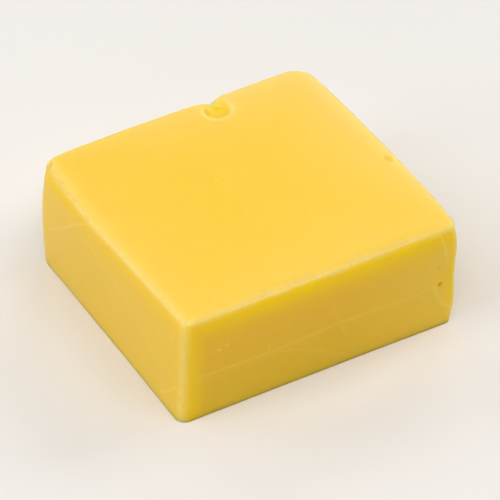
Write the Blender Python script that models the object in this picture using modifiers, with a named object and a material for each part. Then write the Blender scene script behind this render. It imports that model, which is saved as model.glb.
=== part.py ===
# One retail block of emmental cheese, cut by wire from a large rindless loaf.
# Metres, +Z up, origin at the middle of the base.
# X runs along the long side of the block, Y along the short side.

from math import cos, radians, sin

import bmesh
import bpy
from mathutils import Vector, noise

MM = 0.001

# The block as the wire leaves it
LENGTH = 82.6 * MM
WIDTH = 78.8 * MM
HEIGHT = 34.7 * MM

# How round each upright edge is, by the side it is on along X and Y
UPRIGHT_RADII = {
    (-1, -1): 3.1 * MM,
    (1, -1): 2.6 * MM,
    (1, 1): 6.1 * MM,
    (-1, 1): 6.4 * MM,
}
UPRIGHT_STEPS = 7

# The crisp edges round the top and the foot
TOP_RADIUS = 1.0 * MM
TOP_STEPS = 3
FOOT_RADIUS = 0.6 * MM
FOOT_STEPS = 2

# Lines that cut the faces into cells, which lets them bend
CELLS_X = 12
CELLS_Y = 12
CELLS_Z = 6
CELL_MARGIN = 2.2 * MM

# How far each corner lies from a true box's, by the side it is on along X, Y and Z
CORNER_STRAYS = {
    (-1, -1, -1): Vector((-0.3, 0.7, 0.0)) * MM,
    (-1, -1, 1): Vector((0.5, -0.3, 0.0)) * MM,
    (-1, 1, -1): Vector((-0.2, 1.6, 0.0)) * MM,
    (-1, 1, 1): Vector((-0.5, -0.2, -0.7)) * MM,
    (1, -1, -1): Vector((0.4, 0.1, 0.0)) * MM,
    (1, -1, 1): Vector((0.1, -0.4, -0.3)) * MM,
    (1, 1, -1): Vector((0.0, 0.0, 0.0)) * MM,
    (1, 1, 1): Vector((-0.1, -0.2, -0.4)) * MM,
}

# How far the middle of an edge bulges: the axis it runs along, the sides it is on, the bulge
EDGE_BOWS = (
    ("Y", (-1, 0, 1), Vector((0.1, 0.0, 0.2)) * MM),
    ("Y", (1, 0, 1), Vector((0.4, 0.0, 0.6)) * MM),
    ("X", (0, 1, 1), Vector((0.0, -0.2, -0.2)) * MM),
    ("X", (0, -1, -1), Vector((0.0, 0.1, 0.0)) * MM),
    ("Z", (-1, 1, 0), Vector((-0.5, 0.3, 0.0)) * MM),
    ("Z", (1, -1, 0), Vector((0.6, -0.3, 0.0)) * MM),
)

# Places pushed in or drawn out by the pack: the place, how far the push reaches, the push
PUSHES = (
    (Vector((-41.3, 39.4, 34.7)) * MM, 14.0 * MM, Vector((0.55, -0.55, -0.55)) * MM),
    (Vector((41.3, 39.4, 34.7)) * MM, 14.0 * MM, Vector((-0.1, -0.1, -0.1)) * MM),
    (Vector((41.3, -39.4, 34.7)) * MM, 8.0 * MM, Vector((-0.3, 0.3, -0.3)) * MM),
    (Vector((41.3, -39.4, 27.0)) * MM, 13.0 * MM, Vector((0.4, -0.2, 0.0)) * MM),
    (Vector((-41.3, 39.4, 24.0)) * MM, 12.0 * MM, Vector((-0.15, 0.1, 0.0)) * MM),
    (Vector((-25.0, 39.4, 34.7)) * MM, 14.0 * MM, Vector((0.0, -0.15, -0.2)) * MM),
)

# The slow unevenness of the pressed faces
WAVE_HEIGHT = 0.15 * MM
WAVE_LENGTH = 24.0 * MM
WAVE_SEED = 7

# Hollows in the faces. Each is a bowl that meets the face in a soft round lip:
# its middle on the face, the way it opens, its radius over the lip, the lip's own
# radius, and the slope in degrees where the lip turns into the bowl
HOLLOWS = {
    "eye": (Vector((10.7, 33.0, 34.2)) * MM, Vector((0.0, 0.0, 1.0)), 4.8 * MM, 1.8 * MM, 60),
    "eye_breach": (Vector((10.4, 38.1, 33.7)) * MM, Vector((0.0, 1.0, 1.0)), 3.2 * MM, 1.0 * MM, 45),
    "edge_nick": (Vector((39.0, -8.9, 34.9)) * MM, Vector((0.3, 0.0, 1.0)), 1.3 * MM, 0.4 * MM, 45),
    "corner_pit": (Vector((36.4, -40.2, 15.4)) * MM, Vector((0.0, -1.0, 0.0)), 1.2 * MM, 0.3 * MM, 60),
    "corner_dent": (Vector((35.9, -40.3, 20.7)) * MM, Vector((0.0, -1.0, 0.0)), 1.5 * MM, 0.6 * MM, 30),
}
LIP_STEPS = 3
BOWL_STEPS = 4
HOLLOW_SIDES = 20
CUTTER_RISE = 1.0 * MM


def edges_where(cage, chosen):
    """The cage's edges whose two ends are both chosen."""
    return [edge for edge in cage.edges if all(chosen(vert.co) for vert in edge.verts)]


def round_edges(cage, edges, radius, steps):
    """Turns sharp edges into round ones."""
    bmesh.ops.bevel(
        cage,
        geom=edges,
        offset=radius,
        offset_type="OFFSET",
        segments=steps,
        profile=0.5,
        affect="EDGES",
    )


def cut_across(cage, axis, low, high, cells):
    """Cuts the cage by evenly spaced planes across one axis."""
    normal = Vector((0.0, 0.0, 0.0))
    normal[axis] = 1.0
    for step in range(cells + 1):
        bmesh.ops.bisect_plane(
            cage,
            geom=cage.verts[:] + cage.edges[:] + cage.faces[:],
            plane_co=normal * (low + (high - low) * step / cells),
            plane_no=normal,
        )


def rounded_cage():
    """A box with its edges rounded and its faces cut into cells."""
    cage = bmesh.new()
    bmesh.ops.create_cube(cage, size=1.0)
    bmesh.ops.scale(cage, vec=(LENGTH, WIDTH, HEIGHT), verts=cage.verts)
    bmesh.ops.translate(cage, vec=(0.0, 0.0, HEIGHT / 2), verts=cage.verts)
    for (side_x, side_y), radius in UPRIGHT_RADII.items():
        corner = Vector((side_x * LENGTH / 2, side_y * WIDTH / 2, 0.0))
        upright = edges_where(cage, lambda point: (point.xy - corner.xy).length < 0.1 * MM)
        round_edges(cage, upright, radius, UPRIGHT_STEPS)
    round_edges(cage, edges_where(cage, lambda point: point.z > HEIGHT - 0.1 * MM), TOP_RADIUS, TOP_STEPS)
    round_edges(cage, edges_where(cage, lambda point: point.z < 0.1 * MM), FOOT_RADIUS, FOOT_STEPS)
    inner_x = LENGTH / 2 - max(UPRIGHT_RADII.values()) - CELL_MARGIN
    inner_y = WIDTH / 2 - max(UPRIGHT_RADII.values()) - CELL_MARGIN
    cut_across(cage, 0, -inner_x, inner_x, CELLS_X)
    cut_across(cage, 1, -inner_y, inner_y, CELLS_Y)
    cut_across(cage, 2, CELL_MARGIN, HEIGHT - CELL_MARGIN, CELLS_Z)
    bmesh.ops.triangulate(cage, faces=[face for face in cage.faces if len(face.verts) > 4])
    return cage


def box_place(point):
    """Where a point lies in the box, from -1 to 1 along each axis."""
    return Vector(
        (
            point.x / (LENGTH / 2),
            point.y / (WIDTH / 2),
            point.z / (HEIGHT / 2) - 1.0,
        )
    )


def share(place, sides):
    """How much a point belongs to the given sides: 1 on them, 0 on the opposite ones."""
    result = 1.0
    for value, side in zip(place, sides):
        if side:
            result *= (1.0 + side * value) / 2
    return result


def stray(point):
    """How far the cheese has gone out of true at a point of the box."""
    place = box_place(point)
    moved = Vector((0.0, 0.0, 0.0))
    for sides, offset in CORNER_STRAYS.items():
        moved += offset * share(place, sides)
    for axis, sides, bulge in EDGE_BOWS:
        along = place["XYZ".index(axis)]
        moved += bulge * (1.0 - along * along) * share(place, sides)
    for middle, reach, push in PUSHES:
        near = max(0.0, 1.0 - (point - middle).length / reach)
        moved += push * near * near * (3.0 - 2.0 * near)
    swell = noise.noise_vector(point / WAVE_LENGTH) * WAVE_HEIGHT
    swell.z *= (1.0 + place.z) / 2
    return moved + swell


def centre_on_base(cage):
    """Moves the cage so that its box is centred over the origin."""
    points = [vert.co.copy() for vert in cage.verts]
    low = Vector(map(min, *points))
    high = Vector(map(max, *points))
    middle = (low + high) / 2
    bmesh.ops.translate(cage, vec=(-middle.x, -middle.y, -low.z), verts=cage.verts)


def hollow_profile(opening, lip, slope):
    """Half of a hollow's section, from above the face at its lip down to the bottom of its bowl."""
    turn = radians(slope)
    join = opening - lip * sin(turn)
    drop = lip * (1.0 - cos(turn))
    bowl = join / sin(turn)
    profile = [(opening, CUTTER_RISE)]
    for step in range(LIP_STEPS + 1):
        angle = turn * step / LIP_STEPS
        profile.append((opening - lip * sin(angle), -lip * (1.0 - cos(angle))))
    for step in range(1, BOWL_STEPS + 1):
        angle = turn * (1.0 - step / BOWL_STEPS)
        profile.append((bowl * sin(angle), -drop - bowl * (cos(angle) - cos(turn))))
    return profile


def hollow_cutter(name, place, opens, opening, lip, slope, collection):
    """What is taken out for one hollow: its profile turned round the way it opens."""
    profile = [(0.0, CUTTER_RISE)] + hollow_profile(opening, lip, slope)
    mesh = bpy.data.meshes.new(name + "_cutter")
    points = [(radius, 0.0, depth) for radius, depth in profile]
    mesh.from_pydata(points, [(i, i + 1) for i in range(len(points) - 1)], [])
    cutter = bpy.data.objects.new(name + "_cutter", mesh)
    cutter.location = place
    cutter.rotation_mode = "QUATERNION"
    cutter.rotation_quaternion = Vector((0.0, 0.0, 1.0)).rotation_difference(opens)
    turned = cutter.modifiers.new("turn", "SCREW")
    turned.steps = HOLLOW_SIDES
    turned.render_steps = HOLLOW_SIDES
    turned.use_merge_vertices = True
    turned.merge_threshold = 0.01 * MM
    cutter.hide_render = True
    cutter.display_type = "WIRE"
    collection.objects.link(cutter)
    return cutter


def cheese_material():
    """Smooth, slightly waxy yellow paste."""
    paste = bpy.data.materials.new("cheese_paste")
    paste.use_nodes = True
    shader = paste.node_tree.nodes["Principled BSDF"]
    shader.inputs["Base Color"].default_value = (0.93, 0.62, 0.08, 1.0)
    shader.inputs["Roughness"].default_value = 0.45
    shader.inputs["Subsurface Weight"].default_value = 0.4
    return paste


def cheese_block(collection, cutters):
    """The block of cheese: a rounded cage gone out of true, with the hollows taken out of its faces."""
    cage = rounded_cage()
    noise.seed_set(WAVE_SEED)
    for vert in cage.verts:
        vert.co += stray(vert.co)
    centre_on_base(cage)
    mesh = bpy.data.meshes.new("cheese_block")
    cage.to_mesh(mesh)
    cage.free()
    block = bpy.data.objects.new("cheese_block", mesh)
    block.data.materials.append(cheese_material())
    collection.objects.link(block)
    for name, shape in HOLLOWS.items():
        cut = block.modifiers.new(name, "BOOLEAN")
        cut.operation = "DIFFERENCE"
        cut.object = hollow_cutter(name, *shape, cutters)
    return block


def main():
    for thing in list(bpy.data.objects):
        bpy.data.objects.remove(thing)
    collection = bpy.data.collections.new("emmental_cheese")
    cutters = bpy.data.collections.new("hollow_cutters")
    bpy.context.scene.collection.children.link(collection)
    bpy.context.scene.collection.children.link(cutters)
    cheese_block(collection, cutters)


main()
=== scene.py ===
from math import cos, radians, sin

import bpy
import numpy as np
from mathutils import Euler, Matrix, Vector, noise


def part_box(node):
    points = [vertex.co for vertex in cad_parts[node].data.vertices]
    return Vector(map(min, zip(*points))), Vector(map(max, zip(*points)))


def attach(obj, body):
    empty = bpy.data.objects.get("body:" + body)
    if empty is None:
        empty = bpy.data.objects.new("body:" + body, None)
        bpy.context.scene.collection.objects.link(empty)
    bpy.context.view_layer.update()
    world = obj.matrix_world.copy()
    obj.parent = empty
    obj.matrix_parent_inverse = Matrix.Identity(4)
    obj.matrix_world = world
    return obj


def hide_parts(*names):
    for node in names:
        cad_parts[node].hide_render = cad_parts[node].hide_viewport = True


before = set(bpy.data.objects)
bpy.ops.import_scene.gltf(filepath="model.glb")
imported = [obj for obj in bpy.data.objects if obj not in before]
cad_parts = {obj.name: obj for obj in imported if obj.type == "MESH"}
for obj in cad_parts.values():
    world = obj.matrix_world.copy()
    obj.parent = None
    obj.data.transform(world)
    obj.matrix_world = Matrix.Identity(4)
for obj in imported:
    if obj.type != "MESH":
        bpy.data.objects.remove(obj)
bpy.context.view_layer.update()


# The cut block
# Emmental for the shop is a rindless loaf, ripened in film and then cut by wires into
# blocks. The wires leave flat faces and crisp edges, which the pack rounds and bends.

MM = 0.001
length, width, height = 82.6 * MM, 78.8 * MM, 34.7 * MM
hair = 0.1 * MM

# How round each upright is, by the sides that it is on along X and Y, and each rim, by its
# level, with the steps that its round is made in
upright_radii = {(-1, -1): 3.1 * MM, (1, -1): 2.6 * MM, (1, 1): 6.1 * MM, (-1, 1): 6.4 * MM}
upright_steps = 12
rims = ((height, 1.0 * MM, 6), (0.0, 0.15 * MM, 2))

bpy.ops.object.select_all(action="DESELECT")
bpy.ops.mesh.primitive_cube_add(
    size=1.0, location=(0.0, 0.0, height / 2), scale=(length, width, height)
)
block = bpy.context.object
block.name = "emmental_block"
bpy.ops.object.transform_apply(location=True, rotation=False, scale=True)
tool_settings = bpy.context.tool_settings


def deselect_all():
    """Deselects the whole mesh, and leaves edit mode."""
    bpy.ops.object.mode_set(mode="EDIT")
    bpy.ops.mesh.select_all(action="DESELECT")
    bpy.ops.object.mode_set(mode="OBJECT")


def round_edges(chosen, radius, steps):
    """Bevels the edges whose two ends are both chosen."""
    deselect_all()
    for edge in block.data.edges:
        edge.select = all(chosen(block.data.vertices[index].co) for index in edge.vertices)
    tool_settings.mesh_select_mode = (False, True, False)
    bpy.ops.object.mode_set(mode="EDIT")
    bpy.ops.mesh.bevel(offset=radius, segments=steps, profile=0.5, affect="EDGES")
    bpy.ops.object.mode_set(mode="OBJECT")


for (side_x, side_y), radius in upright_radii.items():
    corner = Vector((side_x * length / 2, side_y * width / 2))
    round_edges(lambda point: (point.xy - corner).length < hair, radius, upright_steps)
for level, radius, steps in rims:
    round_edges(lambda point: abs(point.z - level) < hair, radius, steps)

# A narrow border keeps the top and the base flat up to their rims
border = 0.4 * MM
deselect_all()
for face in block.data.polygons:
    face.select = abs(face.normal.z) > 0.999 and face.area > length * width / 2
tool_settings.mesh_select_mode = (False, False, True)
bpy.ops.object.mode_set(mode="EDIT")
bpy.ops.mesh.inset(thickness=border, depth=0.0)

# Cuts all the way across turn the faces into small cells, which can bend
cell, cell_margin = 1.25 * MM, 1.3 * MM
ends = ((-length / 2, length / 2), (-width / 2, width / 2), (0.0, height))
for axis, (low, high) in enumerate(ends):
    across = Vector([float(axis == index) for index in range(3)])
    for place in np.arange(low + cell_margin, high - cell_margin, cell):
        bpy.ops.mesh.select_all(action="SELECT")
        bpy.ops.mesh.bisect(plane_co=across * place, plane_no=across, threshold=0.02 * MM)
bpy.ops.object.mode_set(mode="OBJECT")


def points_of(mesh):
    """The mesh's vertices as an array."""
    points = np.empty(len(mesh.vertices) * 3)
    mesh.vertices.foreach_get("co", points)
    return points.reshape(-1, 3)


def move_points(mesh, points):
    """Puts the mesh's vertices where the array says."""
    mesh.vertices.foreach_set("co", points.ravel())
    mesh.update()


def clamped(values):
    """Keeps values between 0 and 1."""
    return np.clip(values, 0.0, 1.0)


def bell(away, reach):
    """Falls smoothly from 1 to almost nothing at twice the reach."""
    return np.exp(-((away / reach) ** 2))


# The middles of some edges bulge. A bulge has the sides that its edge is on along X, Y and
# Z, with a zero for the way it runs, and how far its middle moves in millimetres
edge_bows = (
    ((-1, 0, 1), (0.1, 0.0, 0.2)),
    ((-1, 0, -1), (0.22, 0.0, 0.0)),
    ((1, 0, 1), (0.4, 0.0, 0.6)),
    ((0, 1, 1), (0.0, -0.2, -0.2)),
    ((0, -1, -1), (0.0, 0.1, 0.0)),
    ((-1, 1, 0), (-0.5, 0.3, 0.0)),
    ((1, -1, 0), (0.6, -0.3, 0.0)),
)
points = points_of(block.data)
x, y, z = points.T
half_size = np.array([length, width, height]) / 2
below_top = height - z
in_box = (points - [0.0, 0.0, height / 2]) / half_size
to_right, to_back, to_top = in_box.T


def bow(sides, bulge):
    """How far a bulge of one edge moves each point."""
    share = 1.0
    for axis, side in enumerate(sides):
        along = in_box[:, axis]
        share = share * ((1.0 + side * along) / 2 if side else 1.0 - along**2)
    return share[:, None] * np.array(bulge) * MM


moved = points.copy()
for sides, bulge in edge_bows:
    moved += bow(sides, bulge)

# Under its weight and the film the cheese stands out a little between its edges, most of all
# below the shoulder under the top: how far each side does, by its axis and which side it is
bellies = {(0, -1): 0.65 * MM, (0, 1): 0.5 * MM, (1, -1): 1.0 * MM, (1, 1): 0.5 * MM}
shoulder = 10.0 * MM
upper = 1.0 - clamped(1.0 - below_top / shoulder) ** 3
lower = clamped(z / (height - shoulder))
belly = bow((1, 0, 1), (0.25, 0.0, 0.0)) + bow((0, -1, -1), (0.0, -0.08, 0.0))
for (axis, side), bulge in bellies.items():
    near_side = clamped(side * in_box[:, axis]) ** 8
    between_ends = 1.0 - np.abs(in_box[:, 1 - axis]) ** 3
    belly[:, axis] += side * bulge * upper * lower * near_side * between_ends
moved += belly

# The top rises a little inside its border. Inward is how far inside the outline a point is
crown, crown_border = 0.15 * MM, 4.0 * MM
corner_sides = np.where(points[:, :2] > 0, 1, -1)
corner_radius = np.array([upright_radii[tuple(sides)] for sides in corner_sides])
to_sides = half_size[:2] - np.abs(points[:, :2])
past_corner = np.linalg.norm(np.maximum(corner_radius[:, None] - to_sides, 0.0), axis=1)
inside_corner = np.maximum(corner_radius - past_corner, 0.0)
inward = np.where(past_corner > 0.0, inside_corner, to_sides.min(axis=1))
rise = 1.0 - clamped(1.0 - inward / crown_border) ** 2
moved[:, 2] += crown * rise * (below_top < hair)

# The two front rims are rolled, and wander where a hand or the film has rubbed them: places
# along each rim in millimetres, and how far it has strayed there over the side, or with a
# minus over the top
roll, roll_width = 0.6 * MM, 1.8 * MM
right_wander = (
    (-36, 0.1), (-22, 0.2), (-17, -0.3), (-12, 0.25), (-8, -0.35), (-5.5, 0.0), (-3.5, -0.4),
    (0, 0.2), (4, 0.6), (8, 0.2), (11, -0.1), (17, 0.4), (24, -0.15), (34, 0.3),
)
left_wander = (
    (-36, -0.6), (-28, -0.4), (-12, 0.0), (8, 0.35), (15, -0.1), (20, -0.4), (25, -0.6), (30, -0.9),
)
across_rim = inward - below_top
near_top = below_top < shoulder
front_left = (x < 0.0) & (to_sides[:, 0] < to_sides[:, 1])
front_right = (y < 0.0) & (to_sides[:, 1] <= to_sides[:, 0])
strayed = np.zeros(len(points))
for on_side, axis, wander in ((front_right, 0, right_wander), (front_left, 1, left_wander)):
    places, strays = np.array(wander).T * MM
    strayed = np.where(on_side, np.interp(points[:, axis], places, strays), strayed)
rim_roll = roll * (1.0 - np.abs(np.where(front_right, to_right, to_back)) ** 8)
rim_bend = near_top * (0.5 * strayed - rim_roll) * bell(across_rim, roll_width)
moved[:, 1] -= rim_bend * front_right
moved[:, 0] -= rim_bend * front_left
moved[:, 2] -= np.abs(rim_bend) * (front_right | front_left)

# The pressed faces swell and sink a little all over, and only the base stays flat
swell, swell_length = 0.15 * MM, 24.0 * MM
noise.seed_set(7)
waves = np.array([noise.noise_vector(Vector(point) / swell_length) for point in points]) * swell
waves[:, 2] *= (1.0 + to_top) / 2
move_points(block.data, moved + waves)

# The rims are paler than the faces: partly dried and rubbed paste, and partly a painted
# highlight where their rounds catch the light. The pale line lies a little over the side,
# and fades faster down the side than over the top
line_drop, line_down_side, line_over_top = 0.2 * MM, 0.8 * MM, 1.3 * MM
from_line = across_rim + strayed + line_drop
rim = near_top * bell(np.minimum(from_line, 0.0), line_down_side)
rim = rim * np.exp(-np.maximum(from_line, 0.0) / line_over_top)

# The front upright has such a line down its middle, and the right-hand one is painted a
# little paler, as painted light where its round catches the light from the right
front_radius = upright_radii[(-1, -1)]
front_line, line_aside = 1.3 * MM, 0.3 * MM
from_centre = points[:, :2] + half_size[:2] - front_radius
turn = np.arctan2(from_centre[:, 1], from_centre[:, 0])
from_front = (turn + 0.75 * np.pi) * front_radius + line_aside
in_front = np.all(points[:, :2] < front_radius - half_size[:2], axis=1)
upright_line = np.where(in_front, bell(from_front, front_line), 0.0)
rim = np.maximum(rim, 0.75 * upright_line * (inward < hair))
beside_right_face = y < -36.0 * MM
right_upright = clamped((x - 39.3 * MM) / (1.0 * MM)) * beside_right_face
rim = np.maximum(rim, 0.25 * right_upright)

# The top is painted paler towards its rims as painted light, most of all at its back corner
# on the right
narrow_border, wide_border = 1.5 * MM, 14.0 * MM
border_light = 0.3 * np.exp(-inward / narrow_border) + 0.62 * np.exp(-inward / wide_border)
border_light *= 0.86 + 0.28 * to_right + 0.25 * to_back + 0.35 * to_right * to_back
border_light *= below_top < 2.0 * MM

# The right-hand front face is painted a deeper yellow, and duller towards its foot, as
# painted shade. Painted light makes it brighter towards its right-hand end and round the
# upright there
on_right_face = clamped(1.0 - to_sides[:, 1] / MM) * (y < 0.0)
right_face_shade = on_right_face * (1.0 - rim)
right_foot_shade = right_face_shade * clamped((24.0 * MM - z) / (17.0 * MM))
round_the_corner = (x > 0.0) & beside_right_face & (below_top > 0.8 * MM)
right_end_glow = clamped((x - 5.0 * MM) / (34.0 * MM)) * (1.0 - rim)
right_end_glow *= np.maximum(on_right_face, round_the_corner)

# Under its rim and beside the front corner it is gold, a painted glow of the light that comes
# through the edges. Past the crease it is gold too, and so are two patches there: how far
# along the face each is, how high, and how far it reaches
gold_patches = ((37.2, 18.8, 1.2), (37.9, 10.6, 1.7))
under_rim = bell(np.maximum(below_top - 3.2 * MM, 0.0), 3.6 * MM)
beside_corner = bell(np.maximum(x + half_size[0] - 3.6 * MM, 0.0), 2.4 * MM)
past_crease = clamped((x - 37.8 * MM) / (0.8 * MM))
gold_and_glow = np.maximum.reduce([under_rim, beside_corner, 0.8 * past_crease])
for along_face, above_foot, reach in gold_patches:
    away = np.hypot(x - along_face * MM, z - above_foot * MM)
    gold_and_glow = np.maximum(gold_and_glow, bell(away, reach * MM))
gold_and_glow = gold_and_glow * on_right_face * (1.0 - rim)


def paint(name, values):
    """Keeps a value for each vertex as an attribute that the material reads."""
    attribute = block.data.attributes.get(name) or block.data.attributes.new(name, "FLOAT", "POINT")
    attribute.data.foreach_set("value", values.astype(np.float32))


def painted(name):
    """The values of an attribute, or zeros where it isn't there yet."""
    values = np.zeros(len(block.data.vertices), dtype=np.float32)
    attribute = block.data.attributes.get(name)
    if attribute:
        attribute.data.foreach_get("value", values)
    return values


paint("rim", rim)
paint("gold_and_glow", gold_and_glow)
paint("border_light", border_light)
paint("right_face_shade", right_face_shade)
paint("right_foot_shade", right_foot_shade)
paint("right_end_glow", right_end_glow)

# A lattice with a point at each corner of the block pulls it out of true: how far each
# corner goes, in millimetres
corner_strays = {
    (-1, -1, -1): (-0.3, 0.7, 0.0),
    (-1, -1, 1): (0.5, -0.3, 0.0),
    (-1, 1, -1): (-0.05, 1.6, 0.0),
    (-1, 1, 1): (-0.6, -0.2, -0.7),
    (1, -1, -1): (0.4, 0.1, 0.0),
    (1, -1, 1): (0.1, -0.4, -0.3),
    (1, 1, -1): (0.0, 0.0, 0.0),
    (1, 1, 1): (-0.1, -0.2, -0.4),
}
bpy.ops.object.add(type="LATTICE", location=(0.0, 0.0, height / 2))
lattice = bpy.context.object
lattice.scale = (length, width, height)
lattice.data.interpolation_type_u = "KEY_LINEAR"
lattice.data.interpolation_type_v = "KEY_LINEAR"
lattice.data.interpolation_type_w = "KEY_LINEAR"
for point in lattice.data.points:
    sides = tuple(1 if value > 0 else -1 for value in point.co)
    for axis, stray in enumerate(corner_strays[sides]):
        point.co_deform[axis] += stray * MM / lattice.scale[axis]
bpy.context.view_layer.update()
modifier = block.modifiers.new("strays", "LATTICE")
modifier.object = lattice
bpy.context.view_layer.objects.active = block
bpy.ops.object.modifier_apply(modifier=modifier.name)
bpy.data.objects.remove(lattice)

# Places that the pack has pushed in or drawn out: the place, how far round it the push
# reaches, and the push, in millimetres
pushes = (
    ((-41.3, 39.4, 34.7), 14.0, (0.4, -0.45, -0.45)),
    ((41.3, 39.4, 34.7), 14.0, (-0.1, -0.1, -0.1)),
    ((41.3, -39.4, 34.7), 9.0, (-0.3, 0.25, -0.5)),
    ((41.3, -39.4, 28.0), 10.0, (0.5, -0.2, 0.0)),
    ((41.3, -39.4, 8.0), 8.0, (0.55, 0.0, 0.0)),
    ((-25.0, 39.4, 34.7), 14.0, (0.0, -0.15, -0.2)),
)
tool_settings.mesh_select_mode = (True, False, False)
for place, reach, push in pushes:
    away = np.linalg.norm(points_of(block.data) - np.array(place) * MM, axis=1)
    deselect_all()
    block.data.vertices[int(away.argmin())].select = True
    bpy.ops.object.mode_set(mode="EDIT")
    bpy.ops.transform.translate(
        value=Vector(push) * MM,
        use_proportional_edit=True,
        proportional_edit_falloff="SMOOTH",
        proportional_size=reach * MM,
    )
    bpy.ops.object.mode_set(mode="OBJECT")

# The block stands where the frame's solid stands. Its bellies don't count for that, and the
# corner that is drawn out to the right would put it a little too far left
drawn_out = 0.1 * MM
low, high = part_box("cheese_block")
points = points_of(block.data)
straight = points - belly
gap = (np.array(low) + np.array(high) - straight.min(axis=0) - straight.max(axis=0)) / 2
gap[0] += drawn_out
gap[2] = low.z - points[:, 2].min()
move_points(block.data, points + gap)


# The eye, its breach, the nick, the pit and the dent
# Gas bubbles leave round eyes in the paste. Where the wire passes through one, its rim
# is pressed soft in the pack. The smaller marks are dents from cutting and packing.

# Each hollow has its place, the way it opens, the radius of its opening and of its lip in
# millimetres, how steep its side is in degrees, how much of a full bowl's depth it keeps,
# and how much painted shade darkens its floor
eye_place, eye_opening = (10.8, 33.2, 34.3), 4.8
nick_place = (39.0, -8.9, 34.9)
hollows = (
    (eye_place, (0.0, 0.0, 1.0), eye_opening, 1.8, 68, 0.55, 0.0),
    ((10.0, 38.6, 33.65), (0.0, 1.0, 1.0), 5.0, 2.0, 18, 1.0, 0.0),
    ((10.9, 38.45, 33.5), (0.0, 1.0, 1.0), 3.7, 2.0, 55, 1.0, 0.0),
    (nick_place, (0.3, 0.0, 1.0), 1.2, 0.5, 30, 1.0, 0.0),
    ((36.4, -40.9, 15.4), (0.0, -1.0, 0.0), 1.35, 0.3, 68, 1.0, 0.95),
    ((35.8, -41.0, 21.6), (0.0, -1.0, 0.0), 1.3, 0.5, 40, 1.0, 0.3),
)


def refine(mask_of):
    """Halves the faces whose middles the mask picks out."""
    middles = np.empty(len(block.data.polygons) * 3)
    block.data.polygons.foreach_get("center", middles)
    deselect_all()
    block.data.polygons.foreach_set("select", mask_of(middles.reshape(-1, 3)))
    tool_settings.mesh_select_mode = (False, False, True)
    bpy.ops.object.mode_set(mode="EDIT")
    bpy.ops.mesh.subdivide(number_cuts=1, smoothness=0.0)
    bpy.ops.object.mode_set(mode="OBJECT")


def over_hollows(middles, reach):
    """Which of the points lie within a hollow's opening, times the reach."""
    return np.any(
        [
            np.linalg.norm(middles - np.array(place) * MM, axis=1) < opening * reach * MM
            for place, _, opening, _, _, _, _ in hollows
        ],
        axis=0,
    )


def floor_of_hollow(radius, opening, lip, slope, squash):
    """Depth of a hollow at a radius: a round lip that turns down into a round or flat bowl."""
    turn = radians(slope)
    join = opening - lip * sin(turn)
    bowl = join / sin(turn)
    on_lip = lip - np.sqrt(np.maximum(lip**2 - (opening - radius) ** 2, 0.0))
    in_bowl = np.sqrt(np.maximum(bowl**2 - radius**2, 0.0)) - bowl * cos(turn)
    in_bowl = lip * (1.0 - cos(turn)) + in_bowl
    return squash * np.where(radius > opening, 0.0, np.where(radius > join, on_lip, in_bowl))


def press_hollow(place, opens, opening, lip, slope, squash):
    """Lowers the points over a hollow to its floor, along the way that it opens."""
    points = points_of(block.data)
    opens = np.array(Vector(opens).normalized())
    offset = points - np.array(place) * MM
    above = offset @ opens
    radius = np.linalg.norm(offset - above[:, None] * opens, axis=1)
    depth = floor_of_hollow(radius, opening * MM, lip * MM, slope, squash)
    inside = (radius < opening * MM) & (above > -10.0 * MM)
    drop = np.where(inside, np.maximum(above + depth, 0.0), 0.0)
    move_points(block.data, points - drop[:, None] * opens)
    return drop


for reach in (1.3, 1.15, 1.1):
    refine(lambda middles: over_hollows(middles, reach))
for place, opens, opening, lip, slope, squash, darkness in hollows:
    drop = press_hollow(place, opens, opening, lip, slope, squash)
    shade = darkness * clamped(drop / (0.8 * drop.max())) ** 2
    paint("shade", np.maximum(painted("shade"), shade))

# The eye's skin is a brighter gold than the paste, down to where it opens into the breach:
# partly the skin's own colour and partly painted light for the light that bounces round the
# hollow. Painted shade darkens it under the front of the lip. The nick has a little of the colour
skin_depth, skin_edge, skin_end = 0.7 * MM, 4.6 * MM, 37.0 * MM
toward_back = np.array([0.50, 0.86])
points = points_of(block.data)
from_middle = points[:, :2] - np.array(eye_place[:2]) * MM
radius = np.linalg.norm(from_middle, axis=1)
fallen = np.where(radius < eye_opening * MM, eye_place[2] * MM - points[:, 2], 0.0)
skin_and_glow = clamped(fallen / skin_depth - 0.2) * (radius < skin_edge)
skin_and_glow *= clamped((skin_end - points[:, 1]) / (2.0 * MM))
from_nick = np.linalg.norm(points - np.array(nick_place) * MM, axis=1)
skin_and_glow = np.maximum(skin_and_glow, 0.3 * bell(from_nick, 0.9 * MM))
paint("eye", skin_and_glow)
under_lip = skin_and_glow * clamped(0.75 - from_middle @ toward_back / (2.0 * MM))
paint("shade", np.maximum(painted("shade"), 0.4 * under_lip))

# Its lip is paler in front and at both sides, partly worn and partly a painted highlight
# where its round catches the light
lip_radius, lip_width = 4.4 * MM, 0.9 * MM
in_front = clamped(1.2 - from_middle[:, 1] / (2.5 * MM))
lip_wear_and_highlight = 0.8 * bell(radius - lip_radius, lip_width) * in_front
paint("rim", np.maximum(painted("rim"), lip_wear_and_highlight * (points[:, 2] > 30.0 * MM)))
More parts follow.
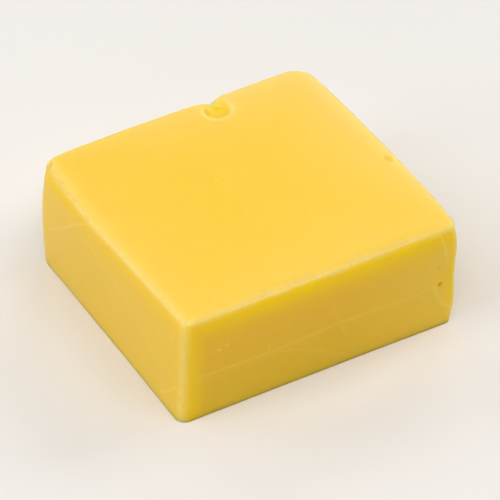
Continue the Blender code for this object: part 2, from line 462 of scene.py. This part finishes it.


# The lines of the film
# The folds and seams of the film that it was packed in leave fine raised lines in the
# paste, paler than the faces, and shallow creases near the corner with the pit.

# Each line has its face, the points on that face that it runs through, half its width and
# how far it stands out, all in millimetres, and how pale it is. The shortest are specks, and
# the two pale specks on the top are painted glints
film_lines = (
    (
        "-Y",
        ((-36.2, 14.8), (-15.8, 14.6), (5.4, 15.9), (19.0, 15.6), (30.0, 15.0), (35.0, 15.3)),
        0.55, 0.08, 0.4,
    ),
    ("-Y", ((-15.8, 14.6), (-7.0, 11.7), (0.0, 7.9), (8.2, 2.8)), 0.35, 0.05, 0.3),
    ("-Y", ((-15.9, 17.6), (-15.8, 13.7)), 0.3, 0.05, 0.4),
    ("-Y", ((2.9, 22.7), (5.4, 15.9), (7.8, 10.2)), 0.35, 0.05, 0.3),
    ("-Y", ((35.8, 32.4), (37.0, 28.5), (37.6, 25.5), (37.8, 23.3), (37.6, 21.0)), 0.4, 0.2, 0.8),
    ("-Y", ((34.5, 14.7), (35.4, 12.0), (36.8, 9.2), (38.2, 7.2), (39.5, 5.8)), 0.45, 0.2, 0.8),
    ("-Y", ((38.2, 12.9), (36.5, 9.9)), 0.3, 0.12, 0.6),
    ("-Y", ((36.6, 16.9), (37.8, 16.7)), 0.4, 0.12, 0.8),
    ("-Y", ((-30.6, 22.4), (-30.2, 22.2)), 0.4, 0.2, 1.0),
    ("-Y", ((-28.6, 23.2), (-28.3, 23.1)), 0.4, 0.2, 1.0),
    ("-Y", ((-25.0, 25.4), (-24.8, 25.2)), 0.2, 0.1, 0.7),
    ("-Y", ((-27.7, 2.7), (-27.3, 2.5)), 0.25, 0.1, 0.7),
    ("-X", ((31.1, 16.0), (26.0, 19.2), (20.5, 24.0), (15.0, 29.0), (10.0, 32.3)), 0.4, 0.08, 0.6),
    ("-X", ((13.0, 28.1), (-2.0, 24.8), (-17.3, 20.9), (-24.9, 14.8)), 0.3, 0.04, 0.35),
    ("-X", ((-28.7, 3.8), (-33.0, 7.2), (-36.8, 11.7)), 0.4, 0.05, 0.5),
    ("-X", ((-26.0, 6.9), (-25.7, 6.7)), 0.3, 0.1, 0.7),
    ("+Z", ((-6.2, 18.1), (-4.9, 9.0), (-4.2, -0.3)), 0.5, 0.03, 0.15),
    ("+Z", ((-5.1, -9.3), (-1.8, -15.0), (2.5, -23.2)), 0.5, 0.03, 0.15),
    ("+Z", ((-4.9, -24.0), (-5.4, -28.0), (-5.2, -31.6)), 0.4, 0.03, 0.15),
    ("+Z", ((20.7, -21.7), (26.0, -29.5), (32.0, -38.2)), 0.4, 0.03, 0.15),
    ("+Z", ((17.5, -24.0), (21.5, -30.5), (26.0, -37.0)), 0.4, 0.03, 0.12),
    # Two painted glints on the top
    ("+Z", ((-18.8, -15.4), (-18.4, -15.6)), 0.3, 0.06, 0.8),
    ("+Z", ((2.8, -34.4), (3.2, -34.6)), 0.3, 0.06, 0.8),
)

# The axis across each face, the two axes along it, its side, and how far out it starts
faces = {
    "-X": (0, (1, 2), -1.0, 36.0 * MM),
    "-Y": (1, (0, 2), -1.0, 36.0 * MM),
    "+Z": (2, (0, 1), 1.0, 33.0 * MM),
}


def distance_to_line(flat, line):
    """How far each flat point lies from a line through the given points."""
    nearest = np.full(len(flat), np.inf)
    for start, end in zip(line[:-1], line[1:]):
        along = end - start
        share = clamped((flat - start) @ along / (along @ along))
        away = np.linalg.norm(flat - start - share[:, None] * along, axis=1)
        nearest = np.minimum(nearest, away)
    return nearest


def line_distance(points, face, line):
    """Distance of points on one face from a line drawn on it, in metres."""
    axis, plane, side, start_of_face = faces[face]
    away = distance_to_line(points[:, plane], np.array(line) * MM)
    return np.where(side * points[:, axis] > start_of_face, away, np.inf)


def nearest_line(points):
    """Distance of points from the nearest of all the lines, in metres."""
    return np.min([line_distance(points, face, line) for face, line, _, _, _ in film_lines], axis=0)


for reach in (1.1, 0.7, 0.5):
    refine(lambda middles: nearest_line(middles) < reach * MM)

points = points_of(block.data)
paleness = np.zeros(len(points))
for face, line, half_width, rise, pale in film_lines:
    ridge = bell(line_distance(points, face, line), half_width * MM)
    axis, _, side, _ = faces[face]
    points[:, axis] += side * ridge * rise * MM
    paleness = np.maximum(paleness, pale * ridge)
move_points(block.data, points)
paint("film_line", paleness)
block.data.shade_smooth()


# The paste
# Young emmental is a dense, waxy, pale yellow paste. Light goes a few millimetres into
# it, so that thin edges glow, and its cut faces are smooth with a dull shine.


class Socket:
    """An output in a material's nodes, on which sums are written as they are on numbers."""

    def __init__(self, tree, output):
        self.tree = tree
        self.output = output

    def add(self, kind, settings, inputs, output=0):
        """Adds a node: its settings first, then the values or links of its sockets."""
        node = self.tree.nodes.new(kind)
        for name, value in settings.items():
            setattr(node, name, value)
        for name, value in inputs.items():
            if isinstance(value, Socket):
                self.tree.links.new(value.output, node.inputs[name])
            else:
                node.inputs[name].default_value = value
        return Socket(self.tree, node.outputs[output])

    def sum(self, operation, first, second):
        return self.add("ShaderNodeMath", {"operation": operation}, {0: first, 1: second})

    def __add__(self, other):
        return self.sum("ADD", self, other)

    __radd__ = __add__

    def __sub__(self, other):
        return self.sum("SUBTRACT", self, other)

    def __rsub__(self, other):
        return self.sum("SUBTRACT", other, self)

    def __mul__(self, other):
        return self.sum("MULTIPLY", self, other)

    __rmul__ = __mul__


paste = bpy.data.materials.new("emmental_paste")
paste.use_nodes = True
tree = paste.node_tree
shader = tree.nodes["Principled BSDF"]
coordinates = tree.nodes.new("ShaderNodeTexCoord")
place = Socket(tree, coordinates.outputs["Object"])


def noise_field(size, detail=2.0, roughness=0.5, where=place):
    """A noise from 0 to 1 whose features are about the given size across."""
    return place.add(
        "ShaderNodeTexNoise",
        {"noise_dimensions": "3D"},
        {"Vector": where, "Scale": 1.0 / size, "Detail": detail, "Roughness": roughness},
    )


def mask(name):
    """A value that was painted on the vertices."""
    return place.add("ShaderNodeAttribute", {"attribute_name": name}, {}, output=2)


def mixed(factor, first, second):
    """Goes from the first colour to the second as the factor goes from 0 to 1."""
    return place.add(
        "ShaderNodeMix",
        {"data_type": "RGBA", "clamp_factor": True},
        {"Factor": factor, 6: first, 7: second},
        output=2,
    )


# The paste is deeper in clouds, and paler in a fine mottle. Painted light pales the top towards
# its rims and the right-hand face's right-hand end, and painted shade deepens that face and
# dulls its foot. The lines, the rims and the hollows have their own yellows, with painted
# highlights on the rims and painted light and shade in the hollows
paste_colour = (0.905, 0.59, 0.021, 1.0)
deep_colour = (0.905, 0.575, 0.016, 1.0)
pale_colour = (0.94, 0.65, 0.09, 1.0)
border_light_colour = (0.94, 0.64, 0.15, 1.0)
right_face_shade_colour = (0.92, 0.50, 0.0, 1.0)
foot_shade_colour = (0.75, 0.56, 0.0, 1.0)
end_glow_colour = (1.0, 0.62, 0.035, 1.0)
gold_and_glow_colour = (1.0, 0.625, 0.0, 1.0)
film_colour = (1.0, 0.68, 0.09, 1.0)
rim_colour = (1.0, 0.70, 0.23, 1.0)
eye_skin_and_glow_colour = (0.97, 0.69, 0.04, 1.0)
shade_colour = (0.72, 0.44, 0.0, 1.0)

cloud = noise_field(16.0 * MM)
mottle = noise_field(3.0 * MM, detail=4.0)
rim_breakup = noise_field(1.2 * MM, detail=3.0)
film_line, rim, gold_and_glow, shade = mask("film_line"), mask("rim"), mask("gold_and_glow"), mask("shade")

# Each layer of colour lies over those before it, where its factor lets it show
layers = (
    (cloud * 1.6 - 0.3, deep_colour),
    (mottle * 0.2, pale_colour),
    # Painted light on the top towards its rims
    (mask("border_light"), border_light_colour),
    # Painted shade on the right-hand face and its foot, then painted light at its right-hand end
    (mask("right_face_shade") * 0.45, right_face_shade_colour),
    (mask("right_foot_shade") * 0.45, foot_shade_colour),
    (mask("right_end_glow"), end_glow_colour),
    # Gold, in part a painted glow under the rim and beside the front corner
    (gold_and_glow, gold_and_glow_colour),
    (film_line * 0.9, film_colour),
    # The rims' pale line, partly dried paste and partly painted highlight, broken up along it
    (rim * (rim_breakup * 1.6 - 0.05), rim_colour),
    # The eye's brighter skin, partly painted light
    (mask("eye"), eye_skin_and_glow_colour),
    (shade, shade_colour),
)
colour = paste_colour
for factor, layer_colour in layers:
    colour = mixed(factor, colour, layer_colour)
tree.links.new(colour.output, shader.inputs["Base Color"])

sheen = 0.30 + mottle * 0.12 - film_line * 0.08 + gold_and_glow * 0.1 - rim * 0.1 + shade * 0.4
tree.links.new(sheen.output, shader.inputs["Roughness"])

# The skin has a fine grain, and creases that are pulled out along one way
pulled = place.add(
    "ShaderNodeMapping",
    {},
    {"Vector": place, "Rotation": (0.0, 0.0, radians(30.0)), "Scale": (0.3, 1.0, 1.0)},
)
creases = noise_field(1.6 * MM, detail=3.0, roughness=0.55, where=pulled)
grain = noise_field(0.5 * MM, detail=3.0)
bump = place.add(
    "ShaderNodeBump",
    {},
    {"Height": creases + grain * 0.4, "Strength": 0.25, "Distance": 0.12 * MM},
)
tree.links.new(bump.output, shader.inputs["Normal"])
shader.inputs["Subsurface Weight"].default_value = 1.0
shader.inputs["Subsurface Radius"].default_value = (1.0, 1.0, 0.4)
shader.inputs["Subsurface Scale"].default_value = 4.5 * MM
shader.inputs["IOR"].default_value = 1.38

block.data.materials.append(paste)
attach(block, "root")
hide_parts("cheese_block")


# The stage
# A plain pale floor under soft studio light from all round, and a long lens that looks
# down on the block from about a metre away.

bpy.ops.object.select_all(action="DESELECT")
bpy.ops.mesh.primitive_plane_add(size=6.0, location=(0.0, 0.0, -0.02 * MM))
floor = bpy.context.object
floor.name = "floor"
paper = bpy.data.materials.new("pale_paper")
paper.use_nodes = True
paper_shader = paper.node_tree.nodes["Principled BSDF"]
paper_shader.inputs["Base Color"].default_value = (0.825, 0.795, 0.76, 1.0)
paper_shader.inputs["Roughness"].default_value = 0.9
floor.data.materials.append(paper)

world = bpy.data.worlds.new("studio")
bpy.context.scene.world = world
world.use_nodes = True
background = world.node_tree.nodes["Background"]
background.inputs["Color"].default_value = (1.0, 1.0, 1.0, 1.0)
background.inputs["Strength"].default_value = 0.005

# Square softboxes stand round the table, three of them higher and one low in front: the way
# that each stands from the block and how high it is, in degrees, and its power
softbox_distance, softbox_size = 1.3, 0.6
softboxes = (
    ("right_softbox", 0, 35, 4.9),
    ("right_back_softbox", 45, 35, 2.7),
    ("back_softbox", 90, 35, 2.5),
    ("left_back_softbox", 135, 35, 2.5),
    ("left_softbox", 180, 35, 3.15),
    ("high_left_softbox", 180, 60, 2.9),
    ("high_left_front_softbox", 240, 60, 4.6),
    ("high_right_front_softbox", 300, 60, 4.0),
    ("low_front_softbox", 225, 12, 1.55),
)
for name, way, rise, power in softboxes:
    way, rise = radians(way), radians(rise)
    out, up = softbox_distance * cos(rise), softbox_distance * sin(rise)
    light = bpy.data.lights.new(name, "AREA")
    light.shape = "SQUARE"
    light.size = softbox_size
    light.energy = power
    lamp = bpy.data.objects.new(name, light)
    bpy.context.scene.collection.objects.link(lamp)
    lamp.location = (out * cos(way), out * sin(way), up)
    lamp.rotation_euler = lamp.location.to_track_quat("Z", "Y").to_euler()

# The way that the camera looks and how steeply, how far it stands from the block's middle,
# and how far it is moved to the right and up from there
azimuth, elevation, roll = radians(-30.30), radians(40.34), radians(0.20)
distance, shift_right, shift_up = 1026.3 * MM, 1.61 * MM, -4.15 * MM
middle = Vector((0.0, 0.0, 18.6 * MM))
turned = Euler((radians(90) - elevation, 0.0, azimuth)).to_matrix() @ Matrix.Rotation(roll, 3, "Z")
lens = bpy.data.cameras.new("camera")
lens.sensor_width = 36.0
lens.lens = 277.2
lens.clip_start = 0.01
camera = bpy.data.objects.new("camera", lens)
bpy.context.scene.collection.objects.link(camera)
camera.matrix_world = Matrix.Translation(
    middle + turned @ Vector((shift_right, shift_up, distance))
) @ turned.to_4x4()
bpy.context.scene.camera = camera
bpy.context.scene.view_settings.view_transform = "Standard"
